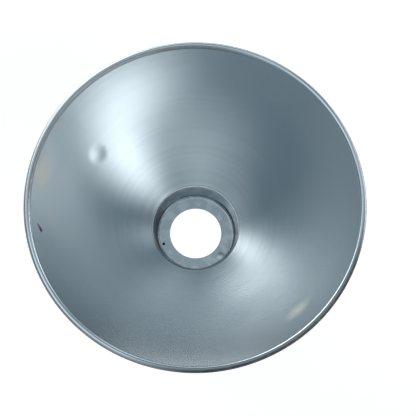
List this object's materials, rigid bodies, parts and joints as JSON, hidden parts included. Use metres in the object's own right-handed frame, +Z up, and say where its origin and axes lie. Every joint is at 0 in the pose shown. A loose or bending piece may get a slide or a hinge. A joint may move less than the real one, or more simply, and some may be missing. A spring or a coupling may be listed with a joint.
{
  "type": "spun metal cone",
  "caption": "Cone-shaped lamp shade spun from aluminium sheet, with a rolled rim bead and a stepped neck with a round lampholder hole.",
  "frame": {"origin": "on the axis, at the underside of the neck's flat seat", "axes": "+Z up the axis, out of the open mouth; +X to the right and +Y away from the camera in the picture"},
  "size_m": [0.304, 0.304, 0.125],
  "materials": {
    "spun_aluminium": "bare spun metal, satin, with fine rings round the axis"
  },
  "bodies": {
    "root": {"shade": "spun_aluminium"}
  },
  "joints": []
}
